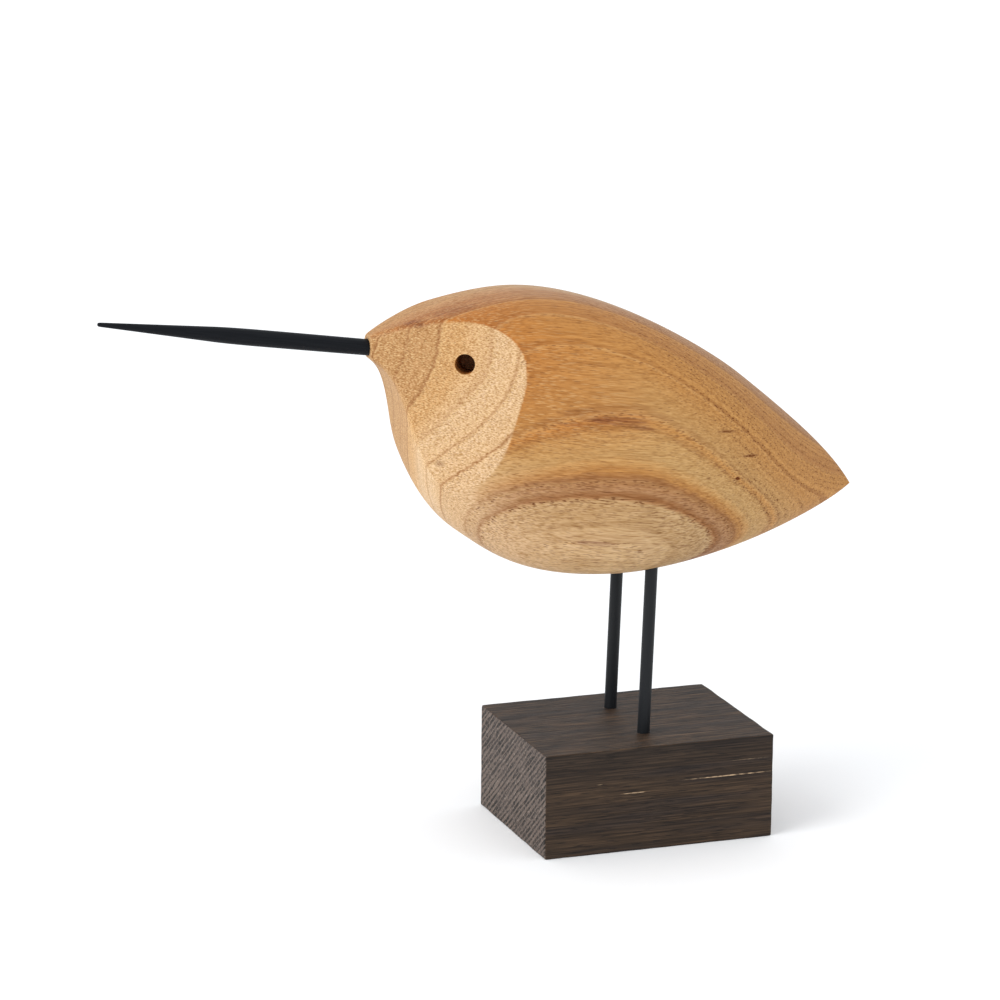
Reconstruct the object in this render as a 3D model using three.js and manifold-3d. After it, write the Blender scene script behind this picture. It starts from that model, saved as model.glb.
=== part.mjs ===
// A carved wooden wading bird on two thin metal rods, standing on a smoked oak block.
// Millimetres, +Z up. The origin is the middle of the block's underside, the beak points
// towards -X, the tail towards +X, and the bird's left side faces -Y.

import * as THREE from 'three';
import { mergeVertices } from 'three/addons/utils/BufferGeometryUtils.js';
import Module from 'manifold-3d';

const wasm = await Module();
wasm.setup();

// Block: a sawn and planed piece of oak with its edges just broken.
const BLOCK_LENGTH = 60;
const BLOCK_DEPTH = 46.7;
const BLOCK_HEIGHT = 26.3;
const BLOCK_EDGE = 0.4;

// Legs: two straight rods that lean towards the tail.
const LEG_DIAMETER = 3.1;
const LEG_FOOT_X = 0.15;
const LEG_SPREAD = 22.6;
const LEG_LEAN = 2;
const LEG_DEPTH_IN_BLOCK = 12;
const BELLY_AT_LEGS = 66.5;
const LEG_DEPTH_IN_BELLY = 14;

// Beak: a round rod that swells a little, then tapers in a straight cone to a blunt tip.
// The swell, the corner where the cone begins and the end of its softening are shares of its length.
const BEAK_ROOT_DIAMETER = 3.94;
const BEAK_SWELL_DIAMETER = 4.05;
const BEAK_TIP_DIAMETER = 1;
const BEAK_ROOT = [-68.2, 125.85];
const BEAK_TIP = [-134.7, 135.8];
const BEAK_SWELL_AT = 0.4;
const BEAK_CONE_CORNER = 0.515;
const BEAK_CONE_FROM = 0.58;
const BEAK_DEPTH_IN_HEAD = 10;

// Free play between a rod and the hole it stands in.
const SOCKET_PLAY = 0.2;

// Body seen from the side: the points that its outline passes through, as [x, z],
// and the slope of the outline there in degrees. It is level at the crown and the belly.
const HEAD_X = -68;
const HEAD_TOP = [HEAD_X, 128.8];
const CROWN = [-30.3, 137.4];
const BACK = [27, 113.8];
const CHIN = [-67.8, 123.2];
const BREAST = [-59.7, 105.8];
const BREAST_FOOT = [-45.3, 78.8];
const BELLY = [-5.1, 66.2];
const TAIL_X = 59.2;
const TAIL_Z = 82.5;
const TAIL = [TAIL_X, TAIL_Z];
const BROW_SLOPE = 31;
const BACK_SLOPE = -38.9;
const RUMP_SLOPE = -58;
const CHIN_SLOPE = -40;
const BREAST_SLOPE = -79.2;
const BREAST_FOOT_SLOPE = -35.4;
const VENT_SLOPE = 37;

// Body seen from above: half the width at the head end and at the widest place.
const HEAD_HALF_WIDTH = 13.5;
const HALF_WIDTH = 25.3;
const WIDEST_X = -4;
const CHEEK_SLOPE = 43;
const TAIL_SIDE_SLOPE = -31;

// Height of the widest level of the sections at the head. From there it falls to the tail tip.
const HEAD_AXIS_Z = 122.5;

// How square a cross section is: 2 is an ellipse, and higher is boxier.
const SQUARENESS_ABOVE = 3.6;
const SQUARENESS_BELOW = 3.1;
const SQUARENESS_AT_TAIL = 2.1;

// The widest level of a section keeps at least this share of its height above and below it.
const MIDDLE_MARGIN = 0.12;

// Cheeks: two flat cuts that meet the head end this far from the middle.
const CHEEK_OFFSET = 2.5;
const CHEEK_ANGLE = 28.2;
const CHEEK_TILT = -5.9;
const CHEEK_REFERENCE = [-68.7, 125];

// Eyes: a blind hole square to each cheek.
const EYE_DIAMETER = 4.9;
const EYE_DEPTH = 9;
const EYE_X = -48.1;
const EYE_Z = 123.2;

// Fineness of the faceted surfaces.
const STATIONS = 46;
const RING_POINTS = 52;
const CURVE_STEPS = 60;
const ROD_SIDES = 24;
const CUTTER_SIZE = 220;

const UP = new THREE.Vector3(0, 0, 1);
const radians = THREE.MathUtils.degToRad;

// A Bezier stretch from one point to the next. Each end has a slope in degrees and a handle length.
function stretch(from, fromSlope, fromHandle, to, toSlope, toHandle) {
  const start = new THREE.Vector2(...from);
  const end = new THREE.Vector2(...to);
  const leave = new THREE.Vector2(Math.cos(radians(fromSlope)), Math.sin(radians(fromSlope)));
  const arrive = new THREE.Vector2(Math.cos(radians(toSlope)), Math.sin(radians(toSlope)));
  return new THREE.CubicBezierCurve(
    start,
    start.clone().addScaledVector(leave, fromHandle),
    end.clone().addScaledVector(arrive, -toHandle),
    end,
  );
}

function pointsAlong(stretches) {
  const path = new THREE.CurvePath();
  stretches.forEach((curve) => path.add(curve));
  return path.getPoints(CURVE_STEPS);
}

// The value of a curve at one place along the body.
function valueAt(points, x) {
  if (x <= points[0].x) {
    return points[0].y;
  }
  const next = points.findIndex((point) => point.x >= x);
  if (next < 0) {
    return points[points.length - 1].y;
  }
  const before = points[next - 1];
  const after = points[next];
  const share = (x - before.x) / (after.x - before.x);
  return before.y + share * (after.y - before.y);
}

// The line of the crown and back, seen from the side.
const backLine = pointsAlong([
  stretch(HEAD_TOP, BROW_SLOPE, 6, CROWN, 0, 12.5),
  stretch(CROWN, 0, 22.8, BACK, BACK_SLOPE, 10),
  stretch(BACK, BACK_SLOPE, 22.9, TAIL, RUMP_SLOPE, 10),
]);

// The line of the throat, breast and belly.
const bellyLine = pointsAlong([
  stretch(CHIN, CHIN_SLOPE, 4.2, BREAST, BREAST_SLOPE, 13.5),
  stretch(BREAST, BREAST_SLOPE, 11.9, BREAST_FOOT, BREAST_FOOT_SLOPE, 8.4),
  stretch(BREAST_FOOT, BREAST_FOOT_SLOPE, 8.3, BELLY, 0, 25.1),
  stretch(BELLY, 0, 16, TAIL, VENT_SLOPE, 13.9),
]);

// Half the body's width, seen from above and before the cheeks are cut.
const widthLine = pointsAlong([
  stretch([HEAD_X, HEAD_HALF_WIDTH], CHEEK_SLOPE, 3.6, [WIDEST_X, HALF_WIDTH], 0, 13.6),
  stretch([WIDEST_X, HALF_WIDTH], 0, 28, [TAIL_X, 0], TAIL_SIDE_SLOPE, 25),
]);

// One cross section: the two half heights, the half width and the squareness above and below.
function sectionAt(x) {
  const share = THREE.MathUtils.clamp((x - HEAD_X) / (TAIL_X - HEAD_X), 0, 1);
  const top = valueAt(backLine, x);
  const bottom = valueAt(bellyLine, x);
  const margin = MIDDLE_MARGIN * (top - bottom);
  const axis = THREE.MathUtils.lerp(HEAD_AXIS_Z, TAIL_Z, share);
  return {
    top,
    bottom,
    middle: THREE.MathUtils.clamp(axis, bottom + margin, top - margin),
    halfWidth: valueAt(widthLine, x),
    above: THREE.MathUtils.lerp(SQUARENESS_ABOVE, SQUARENESS_AT_TAIL, share),
    below: THREE.MathUtils.lerp(SQUARENESS_BELOW, SQUARENESS_AT_TAIL, share * share),
  };
}

function signedPower(value, power) {
  return Math.sign(value) * Math.abs(value) ** power;
}

function sectionPoint(x, angle) {
  const section = sectionAt(x);
  const rise = Math.sin(angle);
  const power = 2 / (rise > 0 ? section.above : section.below);
  const half = rise > 0 ? section.top - section.middle : section.middle - section.bottom;
  return [
    x,
    section.halfWidth * signedPower(Math.cos(angle), power),
    section.middle + half * signedPower(rise, power),
  ];
}

// The rounded body before any cutting: rings from head to tail, closed by a fan at each end.
function roundedBodyGeometry() {
  const positions = [];
  for (let station = 0; station < STATIONS; station += 1) {
    const x = HEAD_X + (TAIL_X - HEAD_X) * (0.5 - 0.5 * Math.cos((Math.PI * station) / STATIONS));
    for (let step = 0; step < RING_POINTS; step += 1) {
      positions.push(...sectionPoint(x, (2 * Math.PI * step) / RING_POINTS));
    }
  }
  const headMiddle = positions.length / 3;
  positions.push(HEAD_X, 0, (HEAD_TOP[1] + CHIN[1]) / 2);
  const tailTip = headMiddle + 1;
  positions.push(TAIL_X, 0, TAIL_Z);

  const faces = [];
  for (let step = 0; step < RING_POINTS; step += 1) {
    const next = (step + 1) % RING_POINTS;
    const last = (STATIONS - 1) * RING_POINTS;
    faces.push(headMiddle, next, step);
    faces.push(tailTip, last + step, last + next);
    for (let station = 0; station < STATIONS - 1; station += 1) {
      const here = station * RING_POINTS;
      const there = here + RING_POINTS;
      faces.push(here + step, here + next, there + next);
      faces.push(here + step, there + next, there + step);
    }
  }
  const geometry = new THREE.BufferGeometry();
  geometry.setAttribute('position', new THREE.Float32BufferAttribute(positions, 3));
  geometry.setIndex(faces);
  return geometry;
}

function toSolid(geometry) {
  const bare = geometry.clone();
  bare.deleteAttribute('normal');
  bare.deleteAttribute('uv');
  const merged = mergeVertices(bare, 1e-5);
  return new wasm.Manifold(new wasm.Mesh({
    numProp: 3,
    vertProperties: new Float32Array(merged.attributes.position.array),
    triVerts: new Uint32Array(merged.index.array),
  }));
}

function toGeometry(solid) {
  const mesh = solid.getMesh();
  const geometry = new THREE.BufferGeometry();
  geometry.setAttribute('position', new THREE.BufferAttribute(mesh.vertProperties, 3));
  geometry.setIndex(new THREE.BufferAttribute(mesh.triVerts, 1));
  geometry.computeVertexNormals();
  return geometry;
}

// A round bar from one point to another.
function barGeometry(from, to, diameter) {
  const start = new THREE.Vector3(...from);
  const run = new THREE.Vector3(...to).sub(start);
  const bar = new THREE.CylinderGeometry(diameter / 2, diameter / 2, run.length(), ROD_SIDES);
  bar.rotateX(Math.PI / 2);
  bar.translate(0, 0, run.length() / 2);
  bar.applyQuaternion(new THREE.Quaternion().setFromUnitVectors(UP, run.normalize()));
  bar.translate(...from);
  return bar;
}

// The centre of one leg at a given height, on the bird's left (-1) or right (1).
function legPoint(side, z) {
  const x = LEG_FOOT_X + (z - BLOCK_HEIGHT) * Math.tan(radians(LEG_LEAN));
  return [x, (side * LEG_SPREAD) / 2, z];
}

function legHole(side) {
  const bottom = legPoint(side, BLOCK_HEIGHT - LEG_DEPTH_IN_BLOCK - SOCKET_PLAY);
  const top = legPoint(side, BELLY_AT_LEGS + LEG_DEPTH_IN_BELLY + SOCKET_PLAY);
  return toSolid(barGeometry(bottom, top, LEG_DIAMETER + 2 * SOCKET_PLAY));
}

// A point on the beak's axis, this far from the root towards the tip.
function beakPoint(distance) {
  const root = new THREE.Vector2(...BEAK_ROOT);
  const point = new THREE.Vector2(...BEAK_TIP).sub(root).setLength(Math.abs(distance));
  point.multiplyScalar(Math.sign(distance)).add(root);
  return [point.x, 0, point.y];
}

const beakLength = new THREE.Vector2(...BEAK_TIP).distanceTo(new THREE.Vector2(...BEAK_ROOT));

// The outward direction of one cheek's flat.
function cheekNormal(side) {
  const acrossX = -Math.tan(radians(CHEEK_ANGLE));
  const acrossZ = -Math.tan(radians(CHEEK_TILT));
  return new THREE.Vector3(acrossX, side, acrossZ).normalize();
}

// How far a cheek's flat is from the middle plane.
function cheekDistance(x, z) {
  const along = (x - CHEEK_REFERENCE[0]) * Math.tan(radians(CHEEK_ANGLE));
  const upwards = (z - CHEEK_REFERENCE[1]) * Math.tan(radians(CHEEK_TILT));
  return CHEEK_OFFSET + along + upwards;
}

function cheekCutter(side) {
  const box = new THREE.BoxGeometry(CUTTER_SIZE, CUTTER_SIZE, CUTTER_SIZE);
  box.translate(0, 0, CUTTER_SIZE / 2);
  box.applyQuaternion(new THREE.Quaternion().setFromUnitVectors(UP, cheekNormal(side)));
  box.translate(CHEEK_REFERENCE[0], side * CHEEK_OFFSET, CHEEK_REFERENCE[1]);
  return toSolid(box);
}

function eyeHole(side) {
  const normal = cheekNormal(side);
  const centre = new THREE.Vector3(EYE_X, side * cheekDistance(EYE_X, EYE_Z), EYE_Z);
  const bottom = centre.clone().addScaledVector(normal, -EYE_DEPTH);
  const outside = centre.clone().addScaledVector(normal, EYE_DEPTH);
  return toSolid(barGeometry(bottom.toArray(), outside.toArray(), EYE_DIAMETER));
}

function beakHole() {
  const bottom = beakPoint(-BEAK_DEPTH_IN_HEAD - SOCKET_PLAY);
  const outside = beakPoint(BEAK_DEPTH_IN_HEAD);
  return toSolid(barGeometry(bottom, outside, BEAK_ROOT_DIAMETER + 2 * SOCKET_PLAY));
}

function bodyGeometry() {
  let body = toSolid(roundedBodyGeometry());
  [-1, 1].forEach((side) => {
    body = body.subtract(cheekCutter(side));
  });
  [-1, 1].forEach((side) => {
    body = body.subtract(eyeHole(side)).subtract(legHole(side));
  });
  return toGeometry(body.subtract(beakHole()));
}

// The beak's half thickness along its length, turned about its own axis and then laid in place.
function beakGeometry() {
  const root = BEAK_ROOT_DIAMETER / 2;
  const swell = BEAK_SWELL_DIAMETER / 2;
  const tip = BEAK_TIP_DIAMETER / 2;
  const corner = beakLength * BEAK_CONE_CORNER;
  const coneShare = (BEAK_CONE_FROM - BEAK_CONE_CORNER) / (1 - BEAK_CONE_CORNER);
  const coneStart = THREE.MathUtils.lerp(swell, tip, coneShare);
  const profile = new THREE.Path();
  profile.moveTo(0, -BEAK_DEPTH_IN_HEAD);
  profile.lineTo(root, -BEAK_DEPTH_IN_HEAD);
  profile.lineTo(root, 0);
  profile.quadraticCurveTo(swell, beakLength * BEAK_SWELL_AT / 2, swell, beakLength * BEAK_SWELL_AT);
  profile.quadraticCurveTo(swell, corner, coneStart, beakLength * BEAK_CONE_FROM);
  profile.lineTo(tip, beakLength - tip);
  profile.absarc(0, beakLength - tip, tip, 0, Math.PI / 2, false);
  const outline = profile.getPoints(6);
  outline[outline.length - 1].x = 0;
  const geometry = new THREE.LatheGeometry(outline, ROD_SIDES);
  const direction = new THREE.Vector3(...beakPoint(1)).sub(new THREE.Vector3(...beakPoint(0)));
  geometry.rotateX(Math.PI / 2);
  geometry.applyQuaternion(new THREE.Quaternion().setFromUnitVectors(UP, direction.normalize()));
  geometry.translate(...beakPoint(0));
  return geometry;
}

function blockGeometry() {
  const halfX = BLOCK_LENGTH / 2 - BLOCK_EDGE;
  const halfY = BLOCK_DEPTH / 2 - BLOCK_EDGE;
  const outline = new THREE.Shape();
  outline.absarc(halfX - BLOCK_EDGE, halfY - BLOCK_EDGE, BLOCK_EDGE, 0, Math.PI / 2);
  outline.absarc(BLOCK_EDGE - halfX, halfY - BLOCK_EDGE, BLOCK_EDGE, Math.PI / 2, Math.PI);
  outline.absarc(BLOCK_EDGE - halfX, BLOCK_EDGE - halfY, BLOCK_EDGE, Math.PI, 1.5 * Math.PI);
  outline.absarc(halfX - BLOCK_EDGE, BLOCK_EDGE - halfY, BLOCK_EDGE, 1.5 * Math.PI, 2 * Math.PI);
  const block = new THREE.ExtrudeGeometry(outline, {
    depth: BLOCK_HEIGHT - 2 * BLOCK_EDGE,
    bevelThickness: BLOCK_EDGE,
    bevelSize: BLOCK_EDGE,
    bevelSegments: 2,
    curveSegments: 3,
  });
  block.translate(0, 0, BLOCK_EDGE);
  return toGeometry(toSolid(block).subtract(legHole(-1)).subtract(legHole(1)));
}

const paleWood = new THREE.MeshStandardMaterial({ color: 0xcf9c62, roughness: 0.55, metalness: 0 });
const blackWood = new THREE.MeshStandardMaterial({ color: 0x1d1e20, roughness: 0.5, metalness: 0 });
const blackMetal = new THREE.MeshStandardMaterial({ color: 0x22252a, roughness: 0.4, metalness: 0 });
const smokedOak = new THREE.MeshStandardMaterial({ color: 0x4a3b33, roughness: 0.65, metalness: 0 });

function piece(name, geometry, material) {
  const mesh = new THREE.Mesh(geometry, material);
  mesh.name = name;
  return mesh;
}

function leg(name, side) {
  const foot = legPoint(side, BLOCK_HEIGHT - LEG_DEPTH_IN_BLOCK);
  const top = legPoint(side, BELLY_AT_LEGS + LEG_DEPTH_IN_BELLY);
  return piece(name, barGeometry(foot, top, LEG_DIAMETER), blackMetal);
}

const bird = new THREE.Group();
bird.add(piece('carved_body', bodyGeometry(), paleWood));
bird.add(piece('beak', beakGeometry(), blackWood));
bird.add(leg('left_leg', -1));
bird.add(leg('right_leg', 1));
bird.add(piece('oak_block', blockGeometry(), smokedOak));

export default bird;
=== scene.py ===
import math

import bmesh
import bpy
import numpy as np
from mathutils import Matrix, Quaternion, Vector


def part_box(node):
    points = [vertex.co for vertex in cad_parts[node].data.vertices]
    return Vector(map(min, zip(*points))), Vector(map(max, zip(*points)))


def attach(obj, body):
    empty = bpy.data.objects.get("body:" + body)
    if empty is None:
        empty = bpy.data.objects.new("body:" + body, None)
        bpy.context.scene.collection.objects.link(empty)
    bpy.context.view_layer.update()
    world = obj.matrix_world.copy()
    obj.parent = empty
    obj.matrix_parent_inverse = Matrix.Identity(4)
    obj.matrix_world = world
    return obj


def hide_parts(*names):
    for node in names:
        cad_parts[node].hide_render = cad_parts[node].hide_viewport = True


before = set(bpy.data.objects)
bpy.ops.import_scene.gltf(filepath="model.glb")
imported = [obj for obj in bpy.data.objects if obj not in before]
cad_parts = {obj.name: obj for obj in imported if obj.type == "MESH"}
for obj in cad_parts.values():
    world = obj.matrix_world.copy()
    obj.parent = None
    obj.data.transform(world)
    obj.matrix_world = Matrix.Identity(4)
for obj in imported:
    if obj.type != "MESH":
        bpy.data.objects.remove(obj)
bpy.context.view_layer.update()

# A carved wooden wading bird on two thin rods, standing on a smoked oak block.
# Lengths are millimetres in the values below and become metres when a mesh is made.
# The beak points towards -X, the tail towards +X, and the bird's left side faces -Y.
MM = 0.001

# Body seen from the side: the points that its outline passes through, as (x, z),
# and the slope of the outline there in degrees. It is level at the crown and the belly.
HEAD_X = -68.0
HEAD_TOP = (HEAD_X, 128.8)
CROWN = (-30.3, 137.4)
BACK = (27.0, 113.8)
CHIN = (-67.8, 123.2)
BREAST = (-59.7, 105.8)
BREAST_FOOT = (-45.3, 78.8)
BELLY = (-5.1, 66.2)
TAIL = (59.2, 82.5)
BROW_SLOPE = 31.0
BACK_SLOPE = -38.9
RUMP_SLOPE = -58.0
CHIN_SLOPE = -40.0
BREAST_SLOPE = -79.2
BREAST_FOOT_SLOPE = -35.4
VENT_SLOPE = 37.0

# Body seen from above: half the width at the head end and at the widest place.
HEAD_HALF_WIDTH = 13.5
HALF_WIDTH = 25.3
WIDEST_X = -4.0
CHEEK_SLOPE = 43.0
TAIL_SIDE_SLOPE = -31.0

# Cross sections: 2 is an ellipse, and higher is boxier. The widest level falls to the tail.
HEAD_AXIS_Z = 122.5
SQUARENESS_ABOVE = 3.6
SQUARENESS_BELOW = 3.1
SQUARENESS_AT_TAIL = 2.1
MIDDLE_MARGIN = 0.12

# Cheeks: two flat cuts. Sanding has rounded their edges, and the head end a little.
CHEEK_OFFSET = 2.5
CHEEK_ANGLE = 28.2
CHEEK_TILT = -5.9
CHEEK_REFERENCE = (-68.7, 125.0)
CHEEK_EDGE_RADIUS = 2.2
HEAD_END_ROUNDING = 0.35

# Eyes: a blind drilled hole square to each cheek, with a sharp rim. The drill's flare lies in
# front of the flat cheek.
EYE_DIAMETER = 4.9
EYE_DEPTH = 9.0
EYE_X = -48.1
EYE_Z = 123.2
EYE_DRILL_FLARE = 0.4

# Beak: a round rod that swells a little, then tapers in a straight cone to a blunt tip.
BEAK_ROOT = (-68.2, 125.85)
BEAK_TIP = (-134.7, 135.8)
BEAK_ROOT_DIAMETER = 3.94
BEAK_SWELL_DIAMETER = 4.05
BEAK_TIP_DIAMETER = 1.0
BEAK_SWELL_AT = 0.4
BEAK_CONE_CORNER = 0.515
BEAK_CONE_FROM = 0.58
BEAK_DEPTH_IN_HEAD = 10.0

# Legs: two straight rods that lean towards the tail.
LEG_DIAMETER = 3.1
LEG_FOOT_X = 0.15
LEG_SPREAD = 22.6
LEG_LEAN = 2.0
LEG_DEPTH_IN_BLOCK = 12.0
BELLY_AT_LEGS = 66.5
LEG_DEPTH_IN_BELLY = 14.0

# Holes fit the rods closely, and a leg leaves a gap over its end. In front of its mouth each
# drill is wider by its flare, which trims the wood that slopes up beside the hole.
SOCKET_PLAY = 0.04
LEG_HOLE_DIAMETER = LEG_DIAMETER + 2 * SOCKET_PLAY
BEAK_HOLE_DIAMETER = BEAK_ROOT_DIAMETER + 2 * SOCKET_PLAY
GAP_OVER_LEG = 1.0
SOCKET_DRILL_FLARE = 0.12

# Block: its edges are broken by hand, so their rounding wanders a little, with two slow waves
# that each have a direction and a start.
BLOCK_EDGE = 0.4
BLOCK_EDGE_WANDER = 0.14
BLOCK_EDGE_WAVES = (((0.31, 0.47, 0.39), 1.3), ((-0.83, 0.62, 1.1), 4.0))
BLOCK_LOW, BLOCK_HIGH = (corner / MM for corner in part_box("oak_block"))
BLOCK_HEIGHT = BLOCK_HIGH.z

# How squarely a face of the block points along an axis before it counts as an end or the top.
BLOCK_FACE_LEAN = (0.5, 0.9)

# Growth rings: the tree's heart lies beside the bird's right side and falls towards the tail.
# The fibres fall less than the heart does.
HEART_X = -4.0
HEART_Y = 35.02
HEART_Z = 119.58
HEART_TURN = -0.06
HEART_FALL = -0.17
FIBRE_FALL = -0.11
FIBRE_TURN = (0.0, math.degrees(math.atan(-FIBRE_FALL)), math.degrees(math.atan(HEART_TURN)))
RING_SWEEP = 1.92
RING_TAPER = 2.17
RING_SWEEP_LENGTH = 40.0

# Where rings grew wider: how much, and the middle and reach as (x, distance from the heart).
RING_BULGES = ((1.0, (-17.0, 55.5), (30.0, 3.0)), (1.0, (-43.0, 54.0), (5.0, 3.0)))

# End grain shows on faces that lean this far towards the beak. Its border is sharp behind
# the cheeks and softens lower down, between two heights, and it fades out on top of the head.
CUT_LEAN_AT_CHEEK = (0.30, 0.40)
CUT_LEAN_AT_BREAST = (0.12, 0.42)
CUT_BORDER_SOFTENS = (112.0, 96.0)
CUT_FADES_WITH_RISE = (0.30, 0.72)

# Other parts of the wood that go by how far a face leans: the deeper colour just behind the
# cheeks, the slanting cut on the tail, and the front of the breast. The wood greys along X
# between two places, and painted shade darkens a hole's inside between two depths.
DEEP_COLOUR_LEAN = (-0.1, CUT_LEAN_AT_CHEEK[0])
TAIL_LEAN = (0.08, 0.42)
BREAST_LEAN = (0.72, 0.88)
TAIL_GREYS = (-20.0, 20.0)
HOLE_SHADE_DEPTHS = (0.3, 1.6)

# Wood tones, as linear colours. Each growth ring is pale at first and darkens to the next one.
# The first tone is partly the wood's own pale tan and partly painted sheen, where light glances off
# the back.
PALE_TAN_AND_SHEEN = (0.485, 0.312, 0.170)
TAN = (0.460, 0.260, 0.128)
CINNAMON = (0.410, 0.202, 0.082)
AMBER = (0.395, 0.166, 0.042)
HONEY = (0.463, 0.205, 0.050)
STRAW = (0.482, 0.254, 0.082)
WHEAT = (0.500, 0.280, 0.098)
SAND = (0.480, 0.286, 0.124)
CREAM = (0.600, 0.385, 0.192)
RUSSET = (0.365, 0.160, 0.048)
UMBER = (0.345, 0.156, 0.054)

# The same rings where the fibres are cut across, on the cheeks and the breast: paler and greyer.
CUT_TAN = (0.475, 0.254, 0.100)
CUT_HONEY = (0.560, 0.312, 0.124)
CUT_SAND = (0.630, 0.398, 0.200)
CUT_CREAM = (0.650, 0.425, 0.228)
CUT_SHELL = (0.620, 0.400, 0.215)
CUT_CLAY = (0.560, 0.350, 0.186)

# The pores, the pale lines where rings start, and the dots where cut fibres end.
PORE = (0.115, 0.024, 0.003)
RING_LINE_TONE = (0.68, 0.43, 0.19)
PALE_DOT = (0.80, 0.56, 0.28)
BROWN_DOT = (0.36, 0.165, 0.055)

# What parts of the wood's colour are multiplied by.
DEEP_TINT = (0.96, 0.78, 0.56)
BREAST_TINT = (1.12, 1.19, 1.28)
TAIL_TINT = (1.03, 1.11, 1.23)
DARK_STREAK_TINT = (0.50, 0.38, 0.29)
SMEAR_TINT = (0.58, 0.47, 0.50)
RING_END_TINT = (0.56, 0.40, 0.28)
# Painted shade: the inside of a hole is painted darker by this tint.
HOLE_SHADE_TINT = (0.55, 0.42, 0.36)

# The same for fine features, each at its darkest and at its palest.
FINE_RING_TINTS = ((0.76, 0.69, 0.62), (1.12, 1.15, 1.2))
SOFT_STREAK_TINTS = ((0.80, 0.73, 0.62), (1.08, 1.09, 1.10))
FIBRE_TINTS = ((0.68, 0.57, 0.40), (1.2, 1.26, 1.42))

# Sizes of the wood's features: along the fibres, and twice across them.
RING_WANDER = (70.0, 16.0, 16.0)
RING_RAGGEDNESS = (5.0, 0.7, 0.7)
SOFT_STREAK = (24.0, 0.55, 0.55)
DARK_STREAK = (15.0, 0.56, 0.56)
SMEAR_THREAD = (16.0, 0.5, 0.4)
FIBRE = (5.0, 0.26, 0.26)
DOT = (4.0, 0.36, 0.36)
LONG_PORE = (7.0, 0.52, 0.52)
SHORT_PORE = (1.7, 0.42, 0.42)
SLANT_PORE = (2.2, 0.46, 0.46)

# How far apart the fine growth lines are, and how deep smears and marks reach into the wood.
FINE_RING = 0.62
SPOT_HALF_DEPTH = 3.0

# Distance from the tree's heart in millimetres, and the wood's tone there.
GRAIN_TONES = (
    (29.9, SAND), (31.6, PALE_TAN_AND_SHEEN), (34.6, PALE_TAN_AND_SHEEN), (37.6, TAN), (39.0, TAN), (40.2, CINNAMON),
    (45.6, CINNAMON), (47.2, RUSSET), (47.9, HONEY), (52.3, AMBER), (53.0, HONEY), (57.0, HONEY),
    (60.6, STRAW), (61.2, HONEY), (62.0, STRAW), (63.6, WHEAT), (64.8, HONEY), (65.4, RUSSET),
    (65.9, UMBER), (66.5, CINNAMON), (67.0, RUSSET), (67.3, UMBER), (67.55, SAND), (69.8, SAND),
    (71.2, CREAM), (72.4, CREAM),
)
CUT_TONES = (
    (36.0, CUT_TAN), (47.3, CUT_TAN), (47.8, CUT_HONEY), (50.0, CUT_HONEY), (52.4, CUT_SAND),
    (52.9, CUT_CREAM), (56.2, CUT_SAND), (56.9, CUT_CREAM), (60.6, CUT_SAND), (61.2, CUT_CREAM),
    (63.2, CUT_CREAM), (65.4, CUT_SHELL), (66.8, CUT_CLAY), (67.6, CUT_SHELL), (72.0, CUT_SHELL),
)

# Each growth ring's start: its distance from the heart, how pale its line is, how full of
# pores, and how dark the last wood of the ring before it is.
RING_LINES = (
    (34.4, 0.3, 0.4, 0.3), (38.9, 0.4, 0.5, 0.4), (43.3, 0.5, 0.5, 0.35), (47.6, 0.8, 0.5, 0.4),
    (52.7, 0.6, 0.6, 0.25), (56.6, 0.5, 0.8, 0.3), (60.9, 0.25, 0.9, 0.5), (65.7, 0.2, 1.1, 0.6),
    (67.35, 0.2, 1.3, 1.0), (71.3, 0.2, 0.8, 0.2),
)

# Half the width of a ring's line. The ring before it is darkest a little before the line, and
# starts to darken further back.
RING_LINE_HALF = 0.19
RING_END_BEFORE = 0.30
RING_END_RISE = 0.456

# How much the fine growth lines show at each distance from the heart, where cut along.
FINE_RING_STRENGTH = (
    (29.0, 0.4), (32.0, 0.8), (46.8, 1.0), (48.0, 0.35), (59.8, 0.25), (61.2, 0.6), (62.6, 0.3),
    (64.4, 0.7), (66.8, 1.0), (68.2, 0.5), (72.0, 0.4),
)

# How many long dark streaks there are at each distance from the heart, where cut along.
STREAK_STRENGTH = (
    (29.0, 0.1), (34.0, 0.4), (46.8, 0.5), (48.0, 0.1), (60.4, 0.1), (61.2, 0.7), (62.4, 0.3),
    (63.4, 0.1), (65.2, 0.4), (66.2, 0.9), (67.6, 0.8), (68.6, 0.6), (72.0, 0.6),
)

# Rings inside the innermost ring line, which show on the bird's right side: how far apart they
# are, and their tones from each one's start, at 0, to its end, at 1.
INNER_RING = 4.43
INNER_TONES = (
    (0.0, SAND), (0.08, WHEAT), (0.45, STRAW), (0.85, HONEY), (0.96, RUSSET), (1.0, SAND),
)
INNER_CUT_TONES = (
    (0.0, CUT_SAND), (0.08, CUT_CREAM), (0.85, CUT_HONEY), (0.96, CUT_TAN), (1.0, CUT_SAND),
)

# Reddish smears in the wood of the bird's left side: place, half length, half height, depth.
SMEARS = (
    ((-56.0, -6.0, 131.9), 10.0, 1.2, 0.9), ((-48.0, -6.5, 134.8), 14.0, 2.2, 0.5),
    ((-13.3, -24.4, 109.0), 10.5, 1.3, 1.0), ((-14.0, -24.3, 110.4), 17.0, 1.8, 0.4),
    ((-24.5, -23.0, 108.8), 5.0, 0.6, 0.8), ((-6.5, -25.1, 107.0), 3.8, 0.7, 0.8),
    ((-17.0, -20.5, 78.2), 6.5, 1.0, 0.8),
)

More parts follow.
